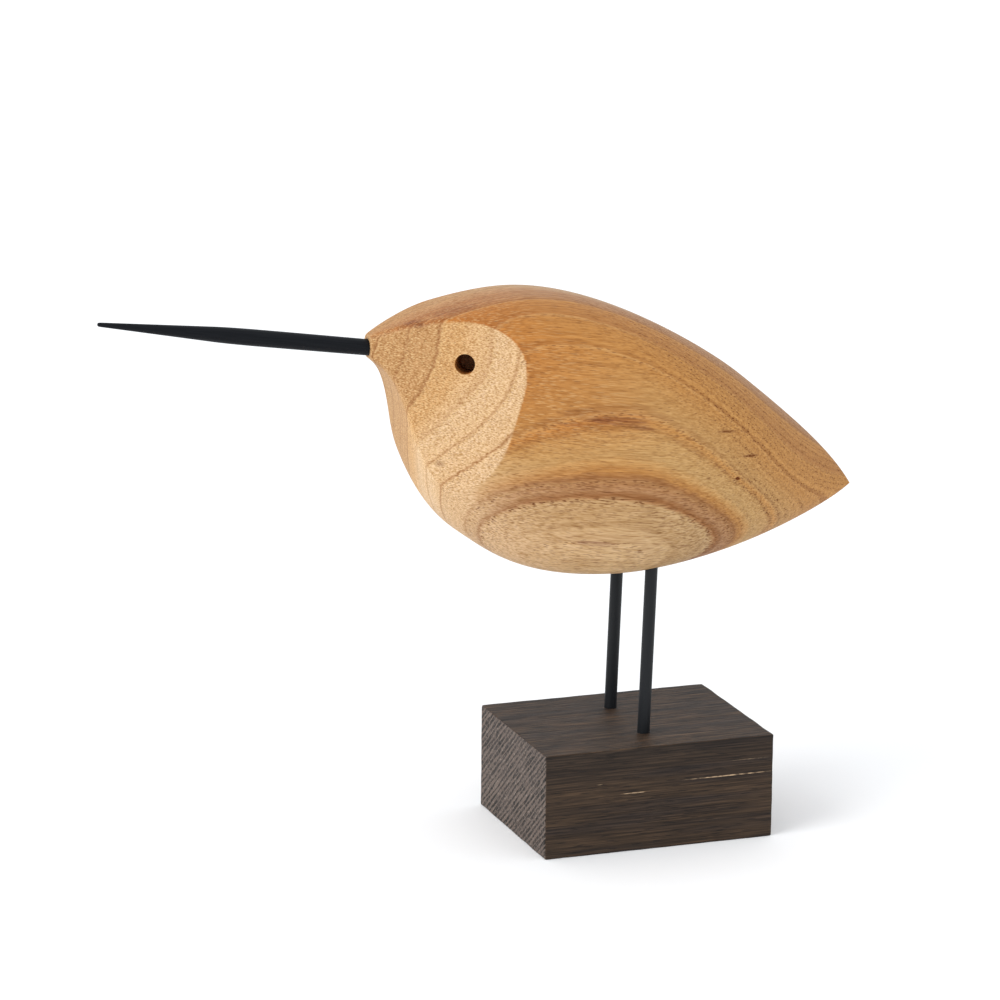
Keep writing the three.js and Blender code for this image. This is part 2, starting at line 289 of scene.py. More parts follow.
# Small dark marks there, given in the same way.
MARKS = (
    ((16.5, -22.2, 103.9), 4.2, 0.45, 0.85), ((23.5, -20.3, 96.9), 3.6, 0.45, 1.1),
    ((19.6, -21.7, 91.8), 0.9, 0.6, 1.6), ((-19.0, -23.8, 108.6), 2.4, 0.3, 0.5),
    ((11.1, -23.8, 93.0), 0.8, 0.4, 0.6), ((2.3, -24.9, 105.8), 0.8, 0.4, 0.7),
    ((-18.0, -20.5, 78.7), 4.5, 0.3, 0.5), ((-5.3, -20.5, 75.2), 0.9, 0.7, 0.8),
    ((6.6, -20.1, 75.6), 2.4, 0.4, 0.6), ((13.7, -17.0, 73.5), 1.0, 0.5, 0.8),
    ((-54.1, -13.0, 99.1), 1.4, 1.0, 0.5),
)

# The least and the greatest distance from the heart that the tables above may hold.
HEART_NEAR = 28.0
HEART_FAR = 74.0

# The black finishes: each one's two tones, and the sizes of their patches.
BLACK_STAIN = ((0.0020, 0.0028, 0.0046), (0.0046, 0.0056, 0.0080))
STICK_FIBRE = (9.0, 0.3, 0.3)
BLACK_COAT = ((0.0026, 0.0038, 0.0056), (0.0040, 0.0054, 0.0074))
COAT_PATCH = (6.0, 6.0, 14.0)
COAT_PEEL = (0.5, 0.5, 0.5)

# The block's oak is turned about its length, as its rings slope. Sizes are as for the bird.
OAK_TURN = (-39.0, 0.0, 0.0)
OAK_BROAD_STREAK = (60.0, 7.0, 2.4)
OAK_FIBRE = (18.0, 0.36, 0.25)
OAK_HAIR = (9.0, 0.40, 0.22)
OAK_DASH = (6.0, 0.55, 0.42)
OAK_SIDE_TONES = (
    (0.0, (0.0290, 0.0195, 0.0150)), (0.5, (0.0375, 0.0230, 0.0142)),
    (1.0, (0.0460, 0.0280, 0.0165)),
)
OAK_DASH_TONE = (0.012, 0.009, 0.008)
OAK_STREAK_TINTS = ((0.48, 0.49, 0.53), (1.65, 1.60, 1.50))
OAK_HAIR_TINTS = ((0.34, 0.34, 0.37), (2.0, 1.95, 1.85))
# Painted light: the top face is painted paler than the front by this tint.
OAK_TOP_LIGHT_TINT = (1.60, 1.44, 1.18)

# Painted shade: towards its upper edge the front is painted darker, between two shares of the
# block's height.
OAK_EDGE_SHADE_TINT = (0.64, 0.69, 0.80)
OAK_EDGE_SHADE_SPAN = (0.6, 0.95)

# Thin pale rays on the block's front: middle along X, height, half length, and paleness.
PALE_RAYS = (
    (18.2, 16.9, 13.0, 1.0), (-6.6, 14.9, 4.2, 0.8), (-16.0, 17.9, 1.0, 0.5),
    (24.0, 20.6, 6.0, 0.3),
)
RAY_HALF_DEPTH = 1.5
RAY_HALF_HEIGHT = 0.17
RAY_TONE = (0.55, 0.38, 0.23)
RAY_BREAK = (1.6, 1.6, 0.5)

# The block's ends: ridges between rows of pores, rougher patches, gaps in the rows, and glints.
END_ROW = (20.0, 20.0, 1.35)
END_ROW_WANDER = 4.0
END_PATCH = (30.0, 9.0, 6.0)
END_ROUGHNESS = (30.0, 0.9, 0.4)
END_GAP = (9.0, 0.9, 0.8)
END_GLINT = (9.0, 1.2, 1.0)
RIDGE_TONES = ((0.050, 0.037, 0.031), (0.158, 0.116, 0.092))
ROUGH_END_TONES = ((0.054, 0.040, 0.034), (0.165, 0.124, 0.102))
END_PORE_TONE = (0.010, 0.007, 0.005)
GLINT_TONE = (0.34, 0.28, 0.23)

# How patterns are laid out: the shift for each seed, the share of a pore's reach that is
# fully dark, and the scale at which a wave has one band in each cell.
UNTURNED = (0.0, 0.0, 0.0)
CLOUD_SHIFT = (17.0, 11.0, 5.0)
PORE_SHIFT = (13.0, 7.0, 3.0)
PORE_CORE = 0.55
ONE_BAND_PER_CELL = math.pi / 10

# Camera: turned about the object by its azimuth, and raised by its elevation, in degrees.
# What it sees lies between two distances in metres.
CAMERA_TARGET = (-33.92, 0.0, 85.39)
CAMERA_DISTANCE = 1174.3
CAMERA_AZIMUTH = -20.0
CAMERA_ELEVATION = 14.3
CAMERA_ROLL = 0.47
CAMERA_LENS = 173.4
SENSOR_WIDTH = 36.0
CAMERA_SEES = (0.05, 20.0)

# Light and floor. The floor reaches this many metres each way.
STUDIO_COLOUR = (0.965, 0.99, 1.02, 1.0)
STUDIO_STRENGTH = 1.02
KEY_FROM = (-0.80, -0.26, 0.55)
KEY_STRENGTH = 1.3
KEY_SPREAD = 34.0
FLOOR_REACH = 4.0
FLOOR_COLOUR = (0.96, 0.96, 0.96)

# Fineness of the body's mesh. Its cross sections start just behind the head's end and stand
# close there, over the cheeks and towards the tip of the tail. Their points crowd where the
# outline bends, and each is found by halving the way from the middle to past the body.
CURVE_STEPS = 800
FIRST_STATION = 0.001
HEAD_END_STATIONS = 7
CHEEKS_END_X = -30.0
CHEEK_STEP = 0.42
TAIL_START_X = 48.0
FLANK_STEP = 0.85
TAIL_STATIONS = 22
TAIL_CROWDING = 1.4
LAST_STATION_SHARE = 0.02
TAIL_TIP_BLUNTNESS = 0.1
HALF_RING_RAYS = 420
HALF_RING_POINTS = 168
BEND_CROWDING = 2.2
ROOT_STEPS = 36
PAST_THE_BODY = 60.0

# Fineness of the other meshes. The steps along the beak's cone end short of its round tip, whose
# last ring is closed by a tiny face. The block's lines crowd near its edges, over a band given
# in edge radii. Edges are sharp from an angle in degrees.
ROD_SIDES = 64
LEG_RINGS = 40
FLARE_STEPS = 7
DRILL_OVERRUN = 3.0
BEAK_SWELL_STEPS = 24
BEAK_BEND_STEPS = 16
BEAK_CONE_STEPS = 40
BEAK_CONE_TO = 0.985
BEAK_TIP_STEPS = 8
BEAK_LAST_RADIUS = 0.0001
BLOCK_EDGE_BAND = 1.6
BLOCK_EDGE_STEPS = 6
BLOCK_LINES_PER_MM = 1.6
MERGE_DISTANCE = 0.002
SHARP_EDGE = 50.0

# Where a leg meets the belly, looked for from below its rough height to above it, in steps.
BELLY_SEARCH = (-6.0, 12.0, 4000)


# Smooth outlines and cross sections of the body

def stretch(start, start_slope, start_handle, end, end_slope, end_handle):
    """Points of a Bezier stretch. Each end has a slope in degrees and a handle length."""
    leave = np.array([math.cos(math.radians(start_slope)), math.sin(math.radians(start_slope))])
    arrive = np.array([math.cos(math.radians(end_slope)), math.sin(math.radians(end_slope))])
    a = np.array(start)
    d = np.array(end)
    b = a + start_handle * leave
    c = d - end_handle * arrive
    t = np.linspace(0.0, 1.0, CURVE_STEPS)[:, None]
    return a * (1 - t) ** 3 + 3 * b * t * (1 - t) ** 2 + 3 * c * t ** 2 * (1 - t) + d * t ** 3


BACK_LINE = np.concatenate([
    stretch(HEAD_TOP, BROW_SLOPE, 6.0, CROWN, 0.0, 12.5),
    stretch(CROWN, 0.0, 22.8, BACK, BACK_SLOPE, 10.0),
    stretch(BACK, BACK_SLOPE, 22.9, TAIL, RUMP_SLOPE, 10.0),
])
BELLY_LINE = np.concatenate([
    stretch(CHIN, CHIN_SLOPE, 4.2, BREAST, BREAST_SLOPE, 13.5),
    stretch(BREAST, BREAST_SLOPE, 11.9, BREAST_FOOT, BREAST_FOOT_SLOPE, 8.4),
    stretch(BREAST_FOOT, BREAST_FOOT_SLOPE, 8.3, BELLY, 0.0, 25.1),
    stretch(BELLY, 0.0, 16.0, TAIL, VENT_SLOPE, 13.9),
])
WIDTH_LINE = np.concatenate([
    stretch((HEAD_X, HEAD_HALF_WIDTH), CHEEK_SLOPE, 3.6, (WIDEST_X, HALF_WIDTH), 0.0, 13.6),
    stretch((WIDEST_X, HALF_WIDTH), 0.0, 28.0, (TAIL[0], 0.0), TAIL_SIDE_SLOPE, 25.0),
])


def value_at(line, x):
    """The outline's height, or the half width, at a place along the body."""
    return np.interp(x, line[:, 0], line[:, 1])


def section_reach(x, y, z):
    """1 on the rounded body's surface, less inside it and more outside."""
    share = np.clip((x - HEAD_X) / (TAIL[0] - HEAD_X), 0.0, 1.0)
    top = value_at(BACK_LINE, x)
    bottom = value_at(BELLY_LINE, x)
    margin = MIDDLE_MARGIN * (top - bottom)
    axis = HEAD_AXIS_Z + (TAIL[1] - HEAD_AXIS_Z) * share
    middle = np.clip(axis, bottom + margin, top - margin)
    above = SQUARENESS_ABOVE + (SQUARENESS_AT_TAIL - SQUARENESS_ABOVE) * share
    below = SQUARENESS_BELOW + (SQUARENESS_AT_TAIL - SQUARENESS_BELOW) * share ** 2
    power = np.where(z > middle, above, below)
    half_height = np.where(z > middle, top - middle, middle - bottom)
    across = np.abs(y) / value_at(WIDTH_LINE, x)
    along = np.abs(z - middle) / half_height
    return (across ** power + along ** power) ** (1.0 / power)


def cheek_normal(side):
    """Which way the cheek's flat faces, on the bird's left (-1) or right (1)."""
    across_x = -math.tan(math.radians(CHEEK_ANGLE))
    across_z = -math.tan(math.radians(CHEEK_TILT))
    return np.array([across_x, side, across_z]) / math.hypot(across_x, 1.0, across_z)


def cheek_distance(x, z):
    """How far a cheek's flat is from the middle plane."""
    along = (x - CHEEK_REFERENCE[0]) * math.tan(math.radians(CHEEK_ANGLE))
    upwards = (z - CHEEK_REFERENCE[1]) * math.tan(math.radians(CHEEK_TILT))
    return CHEEK_OFFSET + along + upwards


def outer_of(first, second, blend):
    """The larger of two distances, eased where they come within a blend of each other."""
    overlap = np.maximum(blend - np.abs(first - second), 0.0)
    return np.maximum(first, second) + overlap ** 2 / (4.0 * np.maximum(blend, 1e-6))


def outside_body(x, y, z):
    """Distance outside the carved body, at points with y of zero or more."""
    nudge = 0.01
    reach = section_reach(x, y, z)
    slope = np.stack([
        section_reach(x + nudge, y, z) - reach,
        section_reach(x, y + nudge, z) - reach,
        section_reach(x, y, z + nudge) - reach,
    ]) / nudge
    steepness = np.maximum(np.linalg.norm(slope, axis=0), 1e-6)
    from_round = (reach - 1.0) / steepness
    normal = cheek_normal(1)
    from_cheek = (y - cheek_distance(x, z)) * normal[1]
    corner = np.arccos(np.clip(np.tensordot(normal, slope / steepness, axes=1), -1.0, 1.0))
    blend = CHEEK_EDGE_RADIUS * corner * np.sin(corner / 2.0)
    outside = outer_of(from_round, from_cheek, blend)
    return outer_of(outside, HEAD_X - x, HEAD_END_ROUNDING)


def body_stations():
    """Places along the body: close together at the head end, over the cheeks and at the tail."""
    turn = np.linspace(0.0, math.pi / 2, HEAD_END_STATIONS)[1:-1]
    head_end = HEAD_X + HEAD_END_ROUNDING * (1 - np.cos(turn))
    cheeks = np.arange(HEAD_X + HEAD_END_ROUNDING, CHEEKS_END_X, CHEEK_STEP)
    flank = np.arange(CHEEKS_END_X, TAIL_START_X, FLANK_STEP)
    shares = np.linspace(1.0, LAST_STATION_SHARE, TAIL_STATIONS) ** TAIL_CROWDING
    tail = TAIL[0] - (TAIL[0] - TAIL_START_X) * shares
    return np.concatenate([[HEAD_X + FIRST_STATION], head_end, cheeks, flank, tail])


def half_sections(stations):
    """The carved body's outline at each station, from the top round its right to the bottom."""
    centre = (value_at(BACK_LINE, stations) + value_at(BELLY_LINE, stations)) / 2
    turn = np.linspace(0.0, math.pi, HALF_RING_RAYS)
    x = np.repeat(stations[:, None], HALF_RING_RAYS, axis=1)
    inner = np.zeros_like(x)
    outer = np.full_like(x, PAST_THE_BODY)
    for _ in range(ROOT_STEPS):
        reach = (inner + outer) / 2
        y, z = reach * np.sin(turn), centre[:, None] + reach * np.cos(turn)
        outside = outside_body(x, y, z) > 0
        outer = np.where(outside, reach, outer)
        inner = np.where(outside, inner, reach)
    return inner * np.sin(turn), centre[:, None] + inner * np.cos(turn)


def spread_evenly(y, z):
    """The same outline with its points spaced by length, and closer where it bends."""
    step = np.hypot(np.diff(y), np.diff(z))
    heading = np.unwrap(np.arctan2(np.diff(z), np.diff(y)))
    bend = np.abs(np.gradient(heading)) / np.maximum(step, 1e-9)
    weight = step * (1.0 + BEND_CROWDING * np.minimum(bend * CHEEK_EDGE_RADIUS, 1.0))
    travel = np.concatenate([[0.0], np.cumsum(weight)])
    wanted = np.linspace(0.0, travel[-1], HALF_RING_POINTS)
    return np.interp(wanted, travel, y), np.interp(wanted, travel, z)


# Meshes and pieces

def ring_faces(rings, count):
    """Faces that join rings of points, one after another, with this many points in each."""
    faces = []
    for ring in range(rings - 1):
        for k in range(count):
            here, there = ring * count, (ring + 1) * count
            faces.append((here + k, here + (k + 1) % count, there + (k + 1) % count, there + k))
    return faces


def piece_from(name, points, faces):
    """A smooth piece from points in millimetres, its faces turned outwards."""
    mesh = bpy.data.meshes.new(name)
    mesh.from_pydata([tuple(p) for p in np.asarray(points) * MM], [], faces)
    work = bmesh.new()
    work.from_mesh(mesh)
    bmesh.ops.remove_doubles(work, verts=work.verts, dist=MERGE_DISTANCE * MM)
    bmesh.ops.recalc_face_normals(work, faces=work.faces)
    work.to_mesh(mesh)
    work.free()
    mesh.polygons.foreach_set("use_smooth", [True] * len(mesh.polygons))
    piece = bpy.data.objects.new(name, mesh)
    bpy.context.scene.collection.objects.link(piece)
    return piece


def turned_shape(name, profile, start, direction):
    """A lathe-turned shape. The profile is (distance along the axis, radius) from end to end."""
    turn = Vector((0, 0, 1)).rotation_difference(Vector(direction)).to_matrix()
    points = []
    for along, radius in profile:
        for k in range(ROD_SIDES):
            angle = 2 * math.pi * k / ROD_SIDES
            local = Vector((radius * math.cos(angle), radius * math.sin(angle), along))
            points.append(Vector(start) + turn @ local)
    faces = ring_faces(len(profile), ROD_SIDES)
    faces.append(tuple(range(ROD_SIDES)))
    faces.append(tuple(range(len(points) - ROD_SIDES, len(points))))
    return piece_from(name, points, faces)


def drill(name, mouth, inwards, diameter, depth, flare):
    """A drill-shaped cutter: plain from the given mouth inwards, and flared in front of it."""
    radius = diameter / 2
    profile = [(-DRILL_OVERRUN, radius + flare)]
    for a in np.linspace(math.pi / 2, 0.0, FLARE_STEPS):
        profile.append((-flare * math.sin(a), radius + flare * (1 - math.cos(a))))
    profile.append((depth, radius))
    return turned_shape(name, profile, mouth, inwards)


def cut_away(piece, cutters):
    """Cuts each cutter out of the piece, then removes it."""
    for cutter in cutters:
        cut = piece.modifiers.new("cut", "BOOLEAN")
        cut.operation = "DIFFERENCE"
        cut.solver = "EXACT"
        cut.object = cutter
    settle(piece)
    for cutter in cutters:
        bpy.data.objects.remove(cutter)


def settle(piece):
    """Turns what the modifiers make into the piece's own plain mesh."""
    shown = piece.evaluated_get(bpy.context.evaluated_depsgraph_get())
    mesh = bpy.data.meshes.new_from_object(shown)
    piece.modifiers.clear()
    piece.data = mesh


def note(piece, name, values):
    """Stores one value at each point of a piece for its material to read."""
    stored = piece.data.attributes.new(name, "FLOAT", "POINT")
    stored.data.foreach_set("value", np.asarray(values, np.float32))


def points_and_normals(piece):
    """The piece's points in millimetres and its smooth normals."""
    count = len(piece.data.vertices)
    points = np.zeros(count * 3, np.float32)
    normals = np.zeros(count * 3, np.float32)
    piece.data.vertices.foreach_get("co", points)
    piece.data.vertex_normals.foreach_get("vector", normals)
    return points.reshape(-1, 3) / MM, normals.reshape(-1, 3)


def smooth_step(value, start, end):
    """0 up to the start, 1 from the end on, and eased between them."""
    t = np.clip((value - start) / (end - start), 0.0, 1.0)
    return t * t * (3.0 - 2.0 * t)


def ring_radius(points):
    """How far each point of the wood grew from the tree's heart, in millimetres."""
    along = points[:, 0] - HEART_X
    across = points[:, 1] - (HEART_Y + HEART_TURN * along)
    upwards = points[:, 2] - (HEART_Z + HEART_FALL * along)
    sweep = along / RING_SWEEP_LENGTH
    radius = np.hypot(across, upwards) + RING_SWEEP * sweep ** 2 + RING_TAPER * sweep ** 3
    place = np.stack([points[:, 0], radius], axis=1)
    for width, middle, reach in RING_BULGES:
        radius = radius - width * np.exp(-np.sum(((place - middle) / reach) ** 2, axis=1))
    return radius


def note_grain(body):
    """Notes how far out in the tree each point grew, and where there is end grain, the deeper
    colour behind the cheeks, the tail's slanting cut, the breast's front or a hole's painted shade."""
    points, normals = points_and_normals(body)
    lean = -normals[:, 0]
    low = smooth_step(points[:, 2], *CUT_BORDER_SOFTENS)
    start, end = (a + (b - a) * low for a, b in zip(CUT_LEAN_AT_CHEEK, CUT_LEAN_AT_BREAST))
    cut = smooth_step(lean, start, end) * (1.0 - smooth_step(normals[:, 2], *CUT_FADES_WITH_RISE))
    note(body, "ring_radius", ring_radius(points))
    note(body, "end_grain", cut)
    deep = smooth_step(lean, *DEEP_COLOUR_LEAN) * (1.0 - cut) * (1.0 - low)
    note(body, "deep_colour", deep)
    note(body, "slant_grain", smooth_step(-lean, *TAIL_LEAN))
    note(body, "breast_front", smooth_step(lean, *BREAST_LEAN))
    # Painted shade: how deep each point lies inside a hole, for darkening it.
    depth = -outside_body(points[:, 0], np.abs(points[:, 1]), points[:, 2])
    note(body, "hole_shade", smooth_step(depth, *HOLE_SHADE_DEPTHS))


def finish_piece(piece, node, material):
    """Sharpens the piece's hard edges, gives it its material in a slot and its body, and hides the
    model's part for its node.
    """
    piece.data.set_sharp_from_angle(angle=math.radians(SHARP_EDGE))
    piece.data.materials.clear()
    piece.data.materials.append(material)
    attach(piece, "root")
    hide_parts(node)


# Places on the bird

def beak_point(distance):
    """A point on the beak's axis, this far from its root towards its tip."""
    root = Vector((BEAK_ROOT[0], 0.0, BEAK_ROOT[1]))
    tip = Vector((BEAK_TIP[0], 0.0, BEAK_TIP[1]))
    return root + (tip - root).normalized() * distance


def leg_point(side, z):
    """The centre of one leg at a height, on the bird's left (-1) or right (1)."""
    x = LEG_FOOT_X + (z - BLOCK_HEIGHT) * math.tan(math.radians(LEG_LEAN))
    return Vector((x, side * LEG_SPREAD / 2, z))


LEG_DIRECTION = (leg_point(1, 1.0) - leg_point(1, 0.0)).normalized()
BEAK_DIRECTION = (beak_point(1.0) - beak_point(0.0)).normalized()


# Carved body

def carved_body(material):
    """The body: cross sections joined into one skin, closed at both ends and drilled."""
    stations = body_stations()
    y, z = half_sections(stations)
    rings = []
    for station, y_row, z_row in zip(stations, y, z):
        side_y, side_z = spread_evenly(y_row, z_row)
        side_y[0] = side_y[-1] = 0.0
        right = [(station, a, b) for a, b in zip(side_y, side_z)]
        left = [(station, -a, b) for a, b in zip(side_y[-2:0:-1], side_z[-2:0:-1])]
        rings.append(right + left)
    points = [p for ring in rings for p in ring]
    count = len(rings[0])
    faces = ring_faces(len(rings), count)
    head_middle, tail_tip = len(points), len(points) + 1
    points.append((HEAD_X, 0.0, (HEAD_TOP[1] + CHIN[1]) / 2))
    points.append((TAIL[0] - TAIL_TIP_BLUNTNESS, 0.0, TAIL[1]))
    last = (len(rings) - 1) * count
    for k in range(count):
        faces.append((head_middle, k, (k + 1) % count))
        faces.append((tail_tip, last + k, last + (k + 1) % count))
    body = piece_from("carved_wooden_body", points, faces)
    cut_away(body, body_drills())
    note_grain(body)
    finish_piece(body, "carved_body", material)


def body_drills():
    """Cutters for the eyes and for the sockets of the beak and the legs."""
    drills = []
    for side in (-1, 1):
        eye = Vector((EYE_X, side * cheek_distance(EYE_X, EYE_Z), EYE_Z))
        inwards = -Vector(cheek_normal(side))
        drills.append(drill("eye_drill", eye, inwards, EYE_DIAMETER, EYE_DEPTH,
                            EYE_DRILL_FLARE))
        belly = leg_point(side, belly_height(leg_point(side, BELLY_AT_LEGS)))
        drills.append(drill("belly_drill", belly, LEG_DIRECTION, LEG_HOLE_DIAMETER,
                            LEG_DEPTH_IN_BELLY + GAP_OVER_LEG, SOCKET_DRILL_FLARE))
    head_end = beak_point((HEAD_X - BEAK_ROOT[0]) / BEAK_DIRECTION.x)
    drills.append(drill("beak_drill", head_end, -BEAK_DIRECTION, BEAK_HOLE_DIAMETER,
                        BEAK_DEPTH_IN_HEAD, SOCKET_DRILL_FLARE))
    return drills


def belly_height(near):
    """The height of the belly's surface under a point."""
    start, end, steps = BELLY_SEARCH
    z = np.linspace(near.z + start, near.z + end, steps)
    outside = outside_body(np.full_like(z, near.x), np.full_like(z, abs(near.y)), z)
    return float(z[np.argmax(outside < 0)])


# Block

def rounded_block(material):
    """The oak block as a fine grid of faces, its edges rounded by a radius that wanders."""
    half = (BLOCK_HIGH - BLOCK_LOW) / 2
    middle = (BLOCK_HIGH + BLOCK_LOW) / 2
    turn = np.linspace(0.0, math.pi / 2, BLOCK_EDGE_STEPS)
    edge_steps = BLOCK_EDGE * BLOCK_EDGE_BAND * (1 - np.cos(turn))
    lines = []
    for reach in half:
        inside = reach - edge_steps[-1]
        inner = np.linspace(-inside, inside, int(reach * BLOCK_LINES_PER_MM))
        lines.append(np.concatenate([-reach + edge_steps[:-1], inner, reach - edge_steps[-2::-1]]))
    points, faces = [], []
    for axis in range(3):
        across, up = (axis + 1) % 3, (axis + 2) % 3
        for side in (-1, 1):
            first = len(points)
            rows, columns = len(lines[up]), len(lines[across])
            for v in lines[up]:
                for u in lines[across]:
                    p = np.zeros(3)
                    p[axis], p[across], p[up] = side * half[axis], u, v
                    points.append(p)
            for r in range(rows - 1):
                for c in range(columns - 1):
                    a = first + r * columns + c
                    faces.append((a, a + 1, a + columns + 1, a + columns))
    points = np.array(points)
    waves = [np.sin(points @ np.array(along) + start) for along, start in BLOCK_EDGE_WAVES]
    wander = sum(waves) / len(waves)
    radius = (BLOCK_EDGE + BLOCK_EDGE_WANDER * wander)[:, None]
    core = np.clip(points, -np.array(half) + radius, np.array(half) - radius)
    away = np.linalg.norm(points - core, axis=1, keepdims=True)
    points = core + radius * (points - core) / np.maximum(away, 1e-9)
    block = piece_from("smoked_oak_block", points + np.array(middle), faces)
    cut_away(block, [
        drill("block_drill", leg_point(side, BLOCK_HEIGHT), -LEG_DIRECTION, LEG_HOLE_DIAMETER,
              LEG_DEPTH_IN_BLOCK, SOCKET_DRILL_FLARE)
        for side in (-1, 1)
    ])
    normals = points_and_normals(block)[1]
    note(block, "end_grain", smooth_step(np.abs(normals[:, 0]), *BLOCK_FACE_LEAN))
    note(block, "on_top", smooth_step(normals[:, 2], *BLOCK_FACE_LEAN))
    finish_piece(block, "oak_block", material)


# Legs, rods made with Geometry Nodes

def rod_tree():
    """A node tree for a round rod from Foot to Top."""
    tree = bpy.data.node_groups.new("leg_rod", "GeometryNodeTree")
    sockets = tree.interface
    for label, kind in (("Foot", "NodeSocketVector"), ("Top", "NodeSocketVector"),
                        ("Radius", "NodeSocketFloat"), ("Rings", "NodeSocketInt"),
                        ("Sides", "NodeSocketInt"), ("Finish", "NodeSocketMaterial")):
        sockets.new_socket(label, in_out="INPUT", socket_type=kind)
    sockets.new_socket("Rod", in_out="OUTPUT", socket_type="NodeSocketGeometry")
    given = tree.nodes.new("NodeGroupInput")
    line = tree.nodes.new("GeometryNodeCurvePrimitiveLine")
    rings = tree.nodes.new("GeometryNodeResampleCurve")
    circle = tree.nodes.new("GeometryNodeCurvePrimitiveCircle")
    sweep = tree.nodes.new("GeometryNodeCurveToMesh")
    sweep.inputs["Fill Caps"].default_value = True
    smooth = tree.nodes.new("GeometryNodeSetShadeSmooth")
    real = tree.nodes.new("GeometryNodeRealizeInstances")
    paint = tree.nodes.new("GeometryNodeSetMaterial")
    result = tree.nodes.new("NodeGroupOutput")
    link = tree.links.new
    link(given.outputs["Foot"], line.inputs["Start"])
    link(given.outputs["Top"], line.inputs["End"])
    link(line.outputs["Curve"], rings.inputs["Curve"])
    link(given.outputs["Rings"], rings.inputs["Count"])
    link(given.outputs["Radius"], circle.inputs["Radius"])
    link(given.outputs["Sides"], circle.inputs["Resolution"])
    link(rings.outputs["Curve"], sweep.inputs["Curve"])
    link(circle.outputs["Curve"], sweep.inputs["Profile Curve"])
    link(sweep.outputs["Mesh"], smooth.inputs["Geometry"])
    link(smooth.outputs["Geometry"], real.inputs["Geometry"])
    link(real.outputs["Geometry"], paint.inputs["Geometry"])
    link(given.outputs["Finish"], paint.inputs["Material"])
    link(paint.outputs["Geometry"], result.inputs["Rod"])
    return tree


def made_by(tree, name, **values):
    """A piece made by a node tree with the given inputs, settled into a plain mesh."""
    piece = bpy.data.objects.new(name, bpy.data.meshes.new(name))
    bpy.context.scene.collection.objects.link(piece)
    maker = piece.modifiers.new(name, "NODES")
    maker.node_group = tree
    for item in tree.interface.items_tree:
        if item.in_out == "INPUT" and item.name in values:
            maker[item.identifier] = values[item.name]
    settle(piece)
    return piece


def legs(material):
    """Both legs, from the bottom of the block's sockets to their depth in the belly."""
    tree = rod_tree()
    for name, side, node in (("left_leg_rod", -1, "left_leg"), ("right_leg_rod", 1, "right_leg")):
        rod = made_by(
            tree, name,
            Foot=leg_point(side, BLOCK_HEIGHT - LEG_DEPTH_IN_BLOCK) * MM,
            Top=leg_point(side, BELLY_AT_LEGS + LEG_DEPTH_IN_BELLY) * MM,
            Radius=LEG_DIAMETER / 2 * MM, Rings=LEG_RINGS, Sides=ROD_SIDES, Finish=material,
        )
        finish_piece(rod, node, material)


# Beak

def beak(material):
    """The beak swells out from its root, bends into a cone and ends in a round tip."""
    length = (Vector((BEAK_TIP[0], 0, BEAK_TIP[1])) - beak_point(0.0)).length
    root, swell, tip = BEAK_ROOT_DIAMETER / 2, BEAK_SWELL_DIAMETER / 2, BEAK_TIP_DIAMETER / 2
    swell_at, corner, cone_from = (
        length * share for share in (BEAK_SWELL_AT, BEAK_CONE_CORNER, BEAK_CONE_FROM))
    cone_start = swell + (tip - swell) * (cone_from - corner) / (length - corner)
    profile = [(-BEAK_DEPTH_IN_HEAD, root)]
    profile += eased((0.0, root), (swell_at / 2, swell), (swell_at, swell), BEAK_SWELL_STEPS)
    profile += eased((swell_at, swell), (corner, swell), (cone_from, cone_start),
                     BEAK_BEND_STEPS)[1:]
    cone = np.linspace(cone_from, length * BEAK_CONE_TO, BEAK_CONE_STEPS)[1:]
    thinning = (tip - cone_start) / (length - cone_from)
    profile += [(along, cone_start + thinning * (along - cone_from)) for along in cone]
    turn = np.linspace(0.0, math.pi / 2, BEAK_TIP_STEPS)
    profile += [(length - tip + tip * math.sin(a), tip * math.cos(a) + BEAK_LAST_RADIUS)
                for a in turn]
    piece = turned_shape("black_beak", profile, beak_point(0.0), BEAK_DIRECTION)
    finish_piece(piece, "beak", material)


def eased(start, corner, end, steps):
    """Points of a curve from start to end that rounds off the corner between them."""
    t = np.linspace(0.0, 1.0, steps)[:, None]
    a, b, c = np.array(start), np.array(corner), np.array(end)
    return [tuple(point) for point in a * (1 - t) ** 2 + 2 * b * t * (1 - t) + c * t ** 2]


# Materials

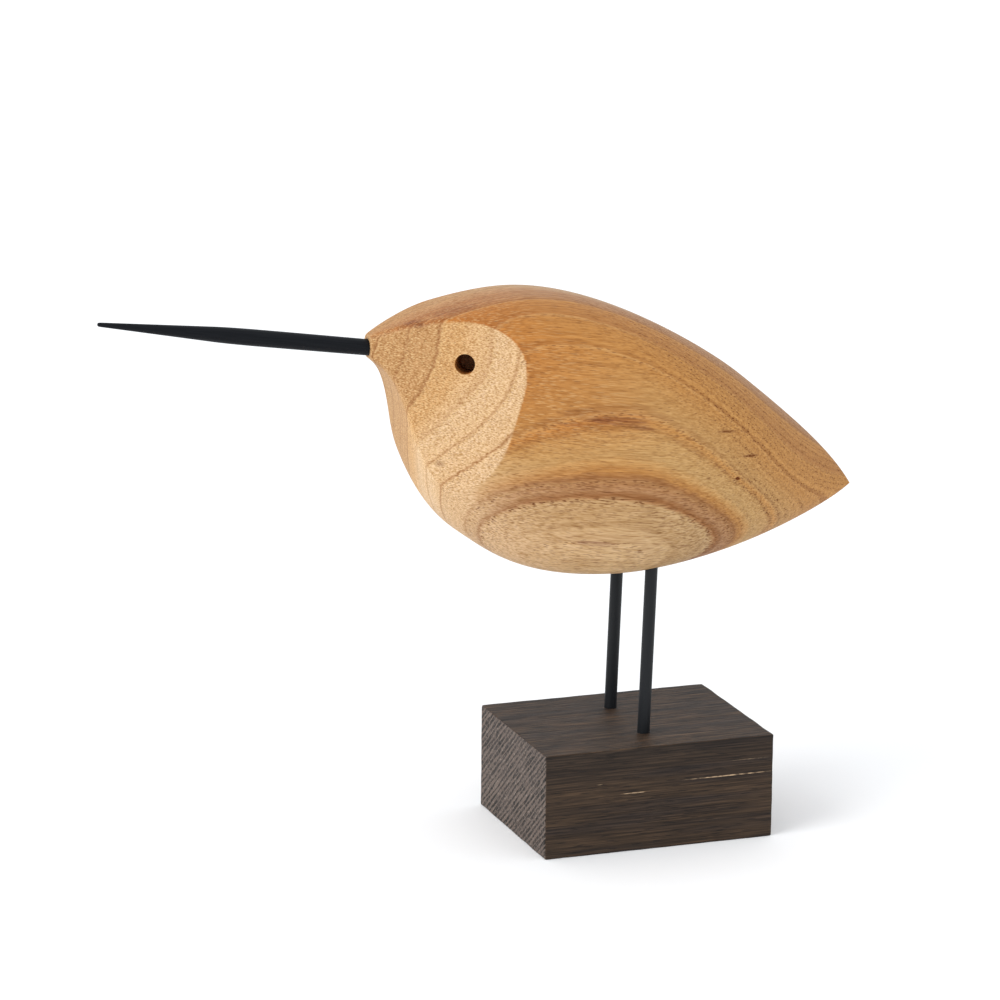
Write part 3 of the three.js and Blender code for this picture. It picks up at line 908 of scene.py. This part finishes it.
class Finish:
    """A material and its nodes. Sizes and places are millimetres, and turns are degrees."""

    def __init__(self, name):
        self.material = bpy.data.materials.new(name)
        self.material.use_nodes = True
        self.tree = self.material.node_tree
        self.shader = self.tree.nodes["Principled BSDF"]
        self.place = self.add("TexCoord", "Object")
        self.noted = {}

    def add(self, kind, output, given=None, **settings):
        """Adds a node with its settings and inputs, and gives back one of its outputs."""
        node = self.tree.nodes.new("ShaderNode" + kind)
        for name, value in settings.items():
            setattr(node, name, value)
        for socket, value in (given or {}).items():
            self.feed(node.inputs[socket], value)
        return node.outputs[output]

    def feed(self, socket, value):
        """Links a socket to what another node gives, or sets it to a plain value."""
        if isinstance(value, bpy.types.NodeSocket):
            self.tree.links.new(value, socket)
        else:
            socket.default_value = value

    def stored(self, name):
        """A value that was noted at the piece's points. Its node is made once."""
        if name not in self.noted:
            self.noted[name] = self.add("Attribute", "Fac", attribute_name=name)
        return self.noted[name]

    def cells(self, size, turn=UNTURNED, centre=(0.0, 0.0, 0.0)):
        """The place on the piece, counted in cells of this size from the centre."""
        return self.add("Mapping", "Vector", {
            "Vector": self.place,
            "Location": [c * MM for c in centre],
            "Rotation": [math.radians(angle) for angle in turn],
            "Scale": [length * MM for length in size],
        }, vector_type="TEXTURE")

    def cloud(self, size, turn=UNTURNED, seed=0, low=0.35, high=0.65, detail=2.0):
        """Soft patches of this size, from 0 to 1."""
        vector = self.cells(size, turn, [shift * seed for shift in CLOUD_SHIFT])
        noise = self.add("TexNoise", "Fac", {"Vector": vector, "Scale": 1.0, "Detail": detail})
        return self.between(noise, low, high)

    def pores(self, size, turn, seed, reach):
        """Separate specks, 1 in the middle of each, a cell of this size apart."""
        vector = self.cells(size, turn, [shift * seed for shift in PORE_SHIFT])
        distance = self.add("TexVoronoi", "Distance",
                            {"Vector": vector, "Scale": 1.0, "Randomness": 1.0})
        return self.between(distance, reach, reach * PORE_CORE)

    def bands(self, size, turn, wander):
        """Rows across the piece, 0 between them and 1 in their middle, that wander a little."""
        return self.add("TexWave", "Fac", {
            "Vector": self.cells(size, turn), "Scale": ONE_BAND_PER_CELL, "Distortion": wander,
            "Detail": 2.0, "Detail Scale": 8.0,
        }, bands_direction="Z")

    def growth_lines(self, radius, spacing):
        """Fine lines that follow the growth rings, about this far apart, from 0 to 1."""
        place = self.figure("DIVIDE", radius, spacing)
        noise = self.add("TexNoise", "Fac", {"W": place, "Scale": 1.0, "Detail": 2.0},
                         noise_dimensions="1D")
        return self.between(noise, 0.3, 0.7)

    def spot(self, centre, size, turn=UNTURNED):
        """A soft spot of this half size, 1 in its middle."""
        return self.add("TexGradient", "Fac", {"Vector": self.cells(size, turn, centre)},
                        gradient_type="SPHERICAL")

    def between(self, value, low, high, start=0.0, end=1.0):
        """Start where the value is low, end where it is high, and evenly between."""
        return self.add("MapRange", "Result", {
            "Value": value, "From Min": low, "From Max": high, "To Min": start, "To Max": end,
        })

    def scaled(self, value, start, end):
        """Start where the value is 0, end where it is 1, and evenly between."""
        return self.between(value, 0.0, 1.0, start, end)

    def figure(self, operation, first, second):
        return self.add("Math", "Value", {0: first, 1: second}, operation=operation)

    def times(self, first, second):
        return self.figure("MULTIPLY", first, second)

    def larger(self, first, second):
        return self.figure("MAXIMUM", first, second)

    def tones(self, value, stops, low=0.0, high=1.0):
        """The colour at a value, from (value, colour) stops between low and high."""
        node = self.tree.nodes.new("ShaderNodeValToRGB")
        self.feed(node.inputs["Fac"], self.between(value, low, high))
        ramp = node.color_ramp
        while len(ramp.elements) < len(stops):
            ramp.elements.new(0.5)
        for element, (stop, colour) in zip(ramp.elements, stops):
            element.position = (stop - low) / (high - low)
            element.color = (*colour, 1.0)
        return node.outputs["Color"]

    def tint(self, value, dark, pale):
        """A colour to multiply by: dark where the value is 0, no change at a half, pale at 1."""
        return self.tones(value, ((0.0, dark), (0.5, (1.0, 1.0, 1.0)), (1.0, pale)))

    def ring_tones(self, radius, stops):
        """The colour at a distance from the tree's heart, from (distance, colour) stops."""
        return self.tones(radius, stops, HEART_NEAR, HEART_FAR)

    def ring_amounts(self, radius, stops):
        """The amount at a distance from the tree's heart, from (distance, amount) stops."""
        return self.ring_tones(radius, [(at, (share,) * 3) for at, share in stops])

    def mix(self, amount, under, over, kind="MIX"):
        """Lays one colour over another, by an amount from 0 to 1."""
        inputs = {0: amount, 6: under, 7: over}
        for socket in (6, 7):
            if isinstance(inputs[socket], tuple):
                inputs[socket] = (*inputs[socket], 1.0)
        return self.add("Mix", 2, inputs, data_type="RGBA", blend_type=kind)

    def tinted(self, amount, colour, tint):
        """The colour multiplied by a tint, by an amount from 0 to 1."""
        return self.mix(amount, colour, tint, "MULTIPLY")

    def paint(self, colour):
        self.feed(self.shader.inputs["Base Color"], colour)

    def relief(self, height, depth):
        """Bumps of this depth where the height goes from 0 to 1."""
        normal = self.add("Bump", "Normal", {"Height": height, "Distance": depth * MM})
        self.feed(self.shader.inputs["Normal"], normal)

    def shine(self, roughness, specular):
        self.feed(self.shader.inputs["Roughness"], roughness)
        self.feed(self.shader.inputs["Specular IOR Level"], specular)


# The bird's pale wood

def wavering_radius(wood):
    """The distance from the tree's heart, as it wavers in real wood."""
    wander = wood.cloud(RING_WANDER, FIBRE_TURN, seed=1)
    ragged = wood.cloud(RING_RAGGEDNESS, FIBRE_TURN, seed=2)
    radius = wood.figure("ADD", wood.stored("ring_radius"), wood.scaled(wander, -0.15, 0.15))
    return wood.figure("ADD", radius, wood.scaled(ragged, -0.12, 0.12))


def ring_colour(wood, radius):
    """Each ring's tones, where the fibres are cut along and where they are cut across."""
    grain = wood.ring_tones(radius, GRAIN_TONES)
    grain = wood.tinted(wood.stored("deep_colour"), grain, DEEP_TINT)
    end_grain = wood.ring_tones(radius, CUT_TONES)
    first_ring = RING_LINES[0][0] - INNER_RING
    inner = wood.between(radius, first_ring, first_ring - 0.1)
    ring_age = wood.figure("SUBTRACT", radius, first_ring)
    ring_age = wood.figure("FRACT", wood.figure("DIVIDE", ring_age, INNER_RING), 0.0)
    grain = wood.mix(inner, grain, wood.tones(ring_age, INNER_TONES))
    end_grain = wood.mix(inner, end_grain, wood.tones(ring_age, INNER_CUT_TONES))
    return wood.mix(wood.stored("end_grain"), grain, end_grain)


def broad_tints(wood, colour):
    """The front of the breast is paler, and the wood greys towards the tail."""
    colour = wood.tinted(wood.stored("breast_front"), colour, BREAST_TINT)
    x = wood.add("SeparateXYZ", "X", {"Vector": wood.place})
    greying = wood.between(x, *(end * MM for end in TAIL_GREYS))
    return wood.tinted(greying, colour, TAIL_TINT)


def fine_rings(wood, colour, radius, growth):
    """Fine growth lines, as strong as each part of the wood shows them."""
    strength = wood.mix(wood.stored("end_grain"), wood.ring_amounts(radius, FINE_RING_STRENGTH),
                        (0.2, 0.2, 0.2))
    strength = wood.larger(strength, wood.times(wood.stored("slant_grain"), 0.7))
    strength = wood.larger(strength, wood.times(wood.stored("breast_front"), 0.35))
    return wood.tinted(strength, colour, wood.tint(growth, *FINE_RING_TINTS))


def streaks_and_fibres(wood, colour, radius, fibres):
    """Soft streaks, long dark ones, and fibres that show most where they are cut across."""
    cut = wood.stored("end_grain")
    streaks = wood.cloud(SOFT_STREAK, FIBRE_TURN, seed=3)
    colour = wood.tinted(wood.scaled(cut, 0.6, 0.1), colour,
                         wood.tint(streaks, *SOFT_STREAK_TINTS))
    streaky = wood.times(wood.ring_amounts(radius, STREAK_STRENGTH), wood.scaled(cut, 1.0, 0.0))
    dark_streaks = wood.pores(DARK_STREAK, FIBRE_TURN, seed=10, reach=0.32)
    colour = wood.tinted(wood.times(dark_streaks, streaky), colour, DARK_STREAK_TINT)
    amount = wood.figure("ADD", wood.scaled(cut, 0.42, 1.0), wood.times(streaky, 0.35))
    return wood.tinted(amount, colour, wood.tint(fibres, *FIBRE_TINTS))


def dots(wood, colour, radius):
    """Pale and brown ends of cut fibres, most of them on the cheeks and just behind them."""
    dotted = wood.times(wood.stored("end_grain"), wood.between(radius, 50.0, 62.0, 1.3, 0.3))
    dotted = wood.larger(dotted, wood.times(wood.stored("deep_colour"), 0.6))
    pale_dots = wood.pores(DOT, FIBRE_TURN, seed=7, reach=0.42)
    colour = wood.mix(wood.times(pale_dots, wood.scaled(dotted, 0.06, 0.50)), colour, PALE_DOT)
    brown_dots = wood.pores(DOT, FIBRE_TURN, seed=8, reach=0.40)
    return wood.mix(wood.times(brown_dots, wood.times(dotted, 0.52)), colour, BROWN_DOT)


def smears(wood, colour):
    """Reddish smears, broken into threads along the fibres."""
    threads = wood.cloud(SMEAR_THREAD, FIBRE_TURN, seed=11, low=0.38, high=0.58)
    for place, half_length, half_height, depth in SMEARS:
        smear = wood.spot(place, (half_length, SPOT_HALF_DEPTH, half_height), FIBRE_TURN)
        smear = wood.between(smear, 0.0, 0.5, 0.0, depth)
        smear = wood.times(smear, wood.scaled(threads, 0.35, 1.0))
        colour = wood.tinted(smear, colour, SMEAR_TINT)
    return colour


def ring_stops(column, before, after, shift=0.0, left_over=0.0):
    """Stops that rise to each ring's amount in a column of RING_LINES, then fall to a share."""
    stops = []
    for ring in RING_LINES:
        middle, amount = ring[0] + shift, ring[column]
        stops += [(middle - before, 0.0), (middle, amount), (middle + after, amount * left_over)]
    return stops


def ring_lines(wood, colour, radius):
    """The dark last wood of each ring, and the pale line where the next one starts."""
    ends = ring_stops(3, RING_END_RISE, RING_LINE_HALF, shift=-RING_END_BEFORE)
    on_cheek = wood.times(wood.stored("end_grain"), wood.between(radius, 62.0, 65.0, 1.1, 0.0))
    ring_ends = wood.times(wood.ring_amounts(radius, ends), wood.figure("ADD", on_cheek, 0.8))
    colour = wood.tinted(ring_ends, colour, RING_END_TINT)
    lines = wood.ring_amounts(radius, ring_stops(1, RING_LINE_HALF, RING_LINE_HALF))
    paleness = wood.scaled(wood.stored("slant_grain"), 0.6, 0.25)
    return wood.mix(wood.times(lines, paleness), colour, RING_LINE_TONE)


def open_pores(wood, radius, growth, fibres):
    """Long pores all over, short ones crowded after each ring line, more on the tail's slanting
    cut, and the marks."""
    sparse = wood.pores(LONG_PORE, FIBRE_TURN, seed=5, reach=0.2)
    crowded = wood.pores(SHORT_PORE, FIBRE_TURN, seed=6, reach=0.43)
    line_pores = ring_stops(2, RING_LINE_HALF, RING_LINE_HALF, left_over=0.5)
    many = wood.pores(SLANT_PORE, FIBRE_TURN, seed=9, reach=0.40)
    many = wood.times(many, wood.between(growth, 0.6, 0.2, 0.2, 1.0))
    pores = wood.larger(wood.times(sparse, 0.6),
                        wood.times(crowded, wood.ring_amounts(radius, line_pores)))
    pores = wood.larger(pores, wood.times(many, wood.stored("slant_grain")))
    for place, half_length, half_height, darkness in MARKS:
        mark = wood.spot(place, (half_length, SPOT_HALF_DEPTH, half_height), FIBRE_TURN)
        mark = wood.between(mark, 0.0, 0.6, 0.0, darkness)
        pores = wood.larger(pores, wood.times(mark, wood.scaled(fibres, 1.2, 0.6)))
    return pores


def pale_wood():
    """Oiled pale teak: growth rings, fibres and pores, all cut through by the surface."""
    wood = Finish("oiled pale wood")
    radius = wavering_radius(wood)
    growth = wood.growth_lines(radius, FINE_RING)
    fibres = wood.cloud(FIBRE, FIBRE_TURN, seed=4, low=0.3, high=0.7, detail=1.0)
    colour = ring_colour(wood, radius)
    colour = broad_tints(wood, colour)
    colour = fine_rings(wood, colour, radius, growth)
    colour = streaks_and_fibres(wood, colour, radius, fibres)
    colour = dots(wood, colour, radius)
    colour = smears(wood, colour)
    colour = ring_lines(wood, colour, radius)
    pores = open_pores(wood, radius, growth, fibres)
    colour = wood.mix(wood.times(pores, 0.85), colour, PORE)
    # Painted shade: the inside of each hole is painted darker.
    wood.paint(wood.tinted(wood.stored("hole_shade"), colour, HOLE_SHADE_TINT))
    wood.shine(wood.larger(wood.scaled(fibres, 0.64, 0.54), pores), 0.22)
    wood.relief(wood.figure("SUBTRACT", wood.times(fibres, 0.4), pores), 0.04)
    return wood.material


# The black finishes

def black_wood():
    """Black stain on a turned stick, satin, with its grain just showing."""
    stick = Finish("black stained wood")
    turn = (0.0, math.degrees(math.atan2(-BEAK_DIRECTION.z, BEAK_DIRECTION.x)), 0.0)
    fibres = stick.cloud(STICK_FIBRE, turn, seed=1, detail=3.0)
    stick.paint(stick.mix(fibres, *BLACK_STAIN))
    stick.shine(stick.scaled(fibres, 0.56, 0.48), 0.14)
    stick.relief(fibres, 0.012)
    return stick.material


def black_metal():
    """Satin black coating with a faint orange peel."""
    coat = Finish("satin black coating")
    peel = coat.cloud(COAT_PEEL, seed=1, detail=1.0)
    coat.paint(coat.mix(coat.cloud(COAT_PATCH, seed=2), *BLACK_COAT))
    coat.shine(coat.scaled(peel, 0.46, 0.52), 0.30)
    coat.relief(peel, 0.006)
    return coat.material


# The block's smoked oak

def oak_side(oak, fine, dashes):
    """Wood cut along the fibres: streaks, fine hairs, dark dashes and a few pale rays."""
    side = oak.tones(oak.cloud(OAK_BROAD_STREAK, OAK_TURN, seed=1), OAK_SIDE_TONES)
    height = oak.add("SeparateXYZ", "Z", {"Vector": oak.place})
    # Painted shade: the front is painted darker towards its upper edge.
    edge_shade = oak.between(height, *(share * BLOCK_HEIGHT * MM for share in OAK_EDGE_SHADE_SPAN))
    side = oak.tinted(edge_shade, side, OAK_EDGE_SHADE_TINT)
    # Painted light: the top face is painted paler than the sides.
    side = oak.tinted(oak.stored("on_top"), side, OAK_TOP_LIGHT_TINT)
    side = oak.tinted(0.85, side, oak.tint(fine, *OAK_STREAK_TINTS))
    hairs = oak.cloud(OAK_HAIR, OAK_TURN, seed=8, low=0.38, high=0.62, detail=1.0)
    side = oak.tinted(oak.scaled(oak.stored("on_top"), 0.3, 1.0), side,
                      oak.tint(hairs, *OAK_HAIR_TINTS))
    side = oak.mix(oak.times(dashes, 0.7), side, OAK_DASH_TONE)
    breaks = oak.cloud(RAY_BREAK, seed=7, low=0.35, high=0.55)
    for middle, level, half_length, paleness in PALE_RAYS:
        ray = oak.spot((middle, BLOCK_LOW.y, level), (half_length, RAY_HALF_DEPTH, RAY_HALF_HEIGHT))
        ray = oak.between(ray, 0.0, 0.5, 0.0, paleness)
        side = oak.mix(oak.times(ray, oak.scaled(breaks, 0.15, 1.0)), side, RAY_TONE)
    return side


def oak_end(oak):
    """Wood cut across the fibres: ridges, rougher patches, and pores in rows, given back too."""
    rows = oak.bands(END_ROW, OAK_TURN, END_ROW_WANDER)
    patches = oak.cloud(END_PATCH, OAK_TURN, seed=4)
    rough = oak.cloud(END_ROUGHNESS, OAK_TURN, seed=9, low=0.3, high=0.7, detail=1.0)
    ridges = oak.mix(oak.between(rows, 0.2, 0.8), *RIDGE_TONES)
    end = oak.mix(oak.scaled(patches, 0.8, 0.35), ridges, oak.mix(rough, *ROUGH_END_TONES))
    gaps = oak.cloud(END_GAP, OAK_TURN, seed=5, low=0.42, high=0.50, detail=1.0)
    specks = oak.times(oak.between(rows, 0.68, 0.40), gaps)
    specks = oak.times(specks, oak.scaled(patches, 0.6, 1.0))
    end = oak.mix(specks, end, END_PORE_TONE)
    glints = oak.pores(END_GLINT, OAK_TURN, seed=6, reach=0.26)
    glints = oak.times(glints, oak.between(rows, 0.4, 0.8, 0.1, 0.6))
    return oak.mix(glints, end, GLINT_TONE), specks


def smoked_oak():
    """Dark smoked oak: rows of pores on its ends, fine streaks, pores and rays along its sides."""
    oak = Finish("smoked oak")
    fine = oak.cloud(OAK_FIBRE, OAK_TURN, seed=2, low=0.3, high=0.7)
    dashes = oak.pores(OAK_DASH, OAK_TURN, seed=3, reach=0.28)
    end, specks = oak_end(oak)
    on_end = oak.stored("end_grain")
    oak.paint(oak.mix(on_end, oak_side(oak, fine, dashes), end))
    oak.shine(oak.scaled(fine, 0.66, 0.56), 0.2)
    hollows = oak.mix(on_end, dashes, specks)
    oak.relief(oak.figure("SUBTRACT", oak.times(fine, 0.5), hollows), 0.09)
    return oak.material


# Camera, floor and light

def make_camera():
    a, e = math.radians(CAMERA_AZIMUTH), math.radians(CAMERA_ELEVATION)
    back = Vector((math.sin(a) * math.cos(e), -math.cos(a) * math.cos(e), math.sin(e)))
    camera = bpy.data.objects.new("camera", bpy.data.cameras.new("camera"))
    camera.data.lens = CAMERA_LENS
    camera.data.sensor_width = SENSOR_WIDTH
    camera.rotation_mode = "QUATERNION"
    aim = (-back).to_track_quat("-Z", "Y")
    camera.rotation_quaternion = aim @ Quaternion((0, 0, 1), math.radians(CAMERA_ROLL))
    camera.location = (Vector(CAMERA_TARGET) + back * CAMERA_DISTANCE) * MM
    camera.data.clip_start, camera.data.clip_end = CAMERA_SEES
    bpy.context.scene.collection.objects.link(camera)
    bpy.context.scene.camera = camera


def pale_floor():
    floor = Finish("pale floor")
    floor.paint((*FLOOR_COLOUR, 1.0))
    floor.shine(0.9, 0.2)
    return floor.material


def make_floor():
    mesh = bpy.data.meshes.new("floor")
    corners = [(-1, -1, 0), (1, -1, 0), (1, 1, 0), (-1, 1, 0)]
    mesh.from_pydata([[FLOOR_REACH * c for c in corner] for corner in corners], [], [(0, 1, 2, 3)])
    floor = bpy.data.objects.new("floor", mesh)
    bpy.context.scene.collection.objects.link(floor)
    floor.data.materials.append(pale_floor())


def soft_key():
    """A wide soft light from the bird's front, so far off that it lights the floor evenly."""
    lamp = bpy.data.lights.new("key", "SUN")
    lamp.energy = KEY_STRENGTH
    lamp.angle = math.radians(KEY_SPREAD)
    light = bpy.data.objects.new("key", lamp)
    light.rotation_mode = "QUATERNION"
    light.rotation_quaternion = Vector(KEY_FROM).to_track_quat("Z", "Y")
    bpy.context.scene.collection.objects.link(light)


def light_scene():
    scene = bpy.context.scene
    scene.view_settings.view_transform = "Standard"
    world = bpy.data.worlds.new("studio")
    world.use_nodes = True
    backdrop = world.node_tree.nodes["Background"]
    backdrop.inputs["Color"].default_value = STUDIO_COLOUR
    backdrop.inputs["Strength"].default_value = STUDIO_STRENGTH
    scene.world = world
    soft_key()


make_camera()
make_floor()
light_scene()
carved_body(pale_wood())
beak(black_wood())
legs(black_metal())
rounded_block(smoked_oak())
